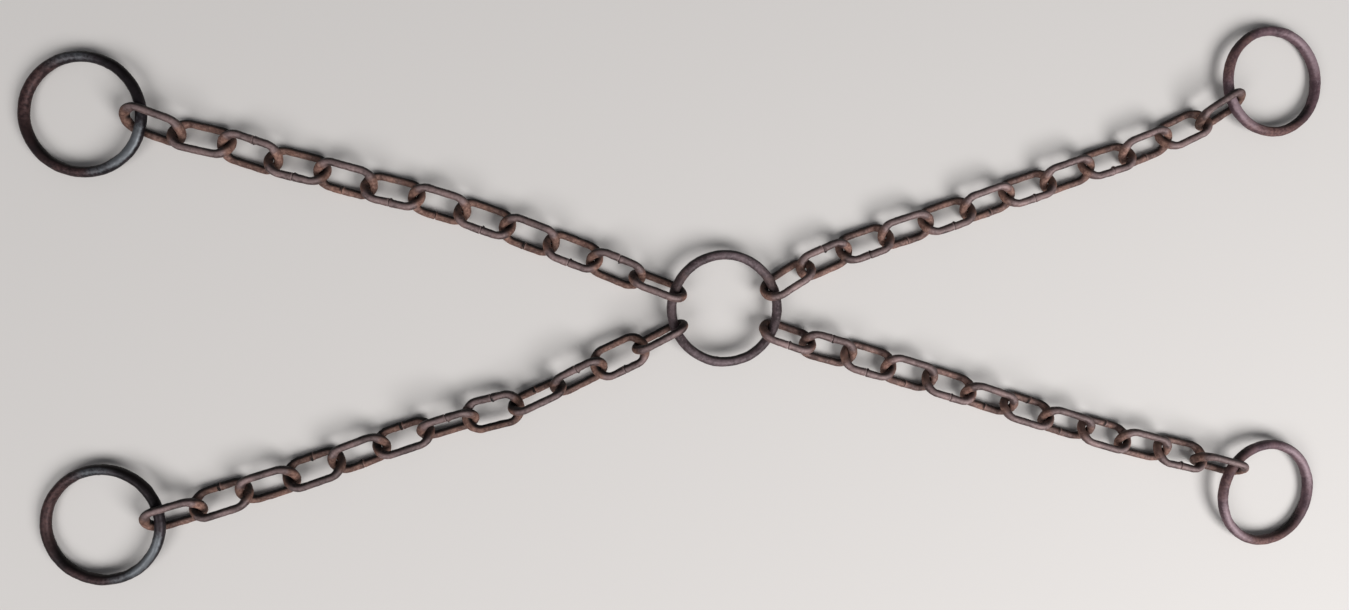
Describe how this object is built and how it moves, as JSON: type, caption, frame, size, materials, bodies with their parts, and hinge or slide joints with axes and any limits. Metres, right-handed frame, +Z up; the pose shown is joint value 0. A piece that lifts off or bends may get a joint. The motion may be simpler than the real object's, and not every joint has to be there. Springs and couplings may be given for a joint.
{
  "type": "four-leg iron chain with a centre ring and end rings",
  "caption": "Rusty iron chain whose legs of oval links spread from a centre ring and end in round rings, laid out flat in an X.",
  "frame": {"origin": "on the floor, under the middle of the whole layout's box", "axes": "+X along the long way of the X, to the right in the picture; +Y towards the picture's top; +Z up from the floor"},
  "size_m": [1.0456, 0.4436, 0.0278],
  "materials": {
    "link_iron": "forged and butt-welded round bar, brown rust with dark scale on top",
    "centre_ring_iron": "round bar with thin grey-brown scale",
    "left_ring_iron": "round bar, near-black with a blue-grey sheen and brown patches",
    "right_ring_iron": "round bar, purple-brown rust"
  },
  "bodies": {
    "root": {"centre_ring": "centre_ring_iron", "lower_left_link_01": "link_iron", "lower_left_link_02": "link_iron", "lower_left_link_03": "link_iron", "lower_left_link_04": "link_iron", "lower_left_link_05": "link_iron", "lower_left_link_06": "link_iron", "lower_left_link_07": "link_iron", "lower_left_link_08": "link_iron", "lower_left_link_09": "link_iron", "lower_left_link_10": "link_iron", "lower_left_link_11": "link_iron", "lower_left_link_12": "link_iron", "lower_left_ring": "left_ring_iron", "lower_right_link_01": "link_iron", "lower_right_link_02": "link_iron", "lower_right_link_03": "link_iron", "lower_right_link_04": "link_iron", "lower_right_link_05": "link_iron", "lower_right_link_06": "link_iron", "lower_right_link_07": "link_iron", "lower_right_link_08": "link_iron", "lower_right_link_09": "link_iron", "lower_right_link_10": "link_iron", "lower_right_link_11": "link_iron", "lower_right_link_12": "link_iron", "lower_right_ring": "right_ring_iron", "upper_left_link_01": "link_iron", "upper_left_link_02": "link_iron", "upper_left_link_03": "link_iron", "upper_left_link_04": "link_iron", "upper_left_link_05": "link_iron", "upper_left_link_06": "link_iron", "upper_left_link_07": "link_iron", "upper_left_link_08": "link_iron", "upper_left_link_09": "link_iron", "upper_left_link_10": "link_iron", "upper_left_link_11": "link_iron", "upper_left_link_12": "link_iron", "upper_left_ring": "left_ring_iron", "upper_right_link_01": "link_iron", "upper_right_link_02": "link_iron", "upper_right_link_03": "link_iron", "upper_right_link_04": "link_iron", "upper_right_link_05": "link_iron", "upper_right_link_06": "link_iron", "upper_right_link_07": "link_iron", "upper_right_link_08": "link_iron", "upper_right_link_09": "link_iron", "upper_right_link_10": "link_iron", "upper_right_link_11": "link_iron", "upper_right_link_12": "link_iron", "upper_right_ring": "right_ring_iron"}
  },
  "joints": []
}
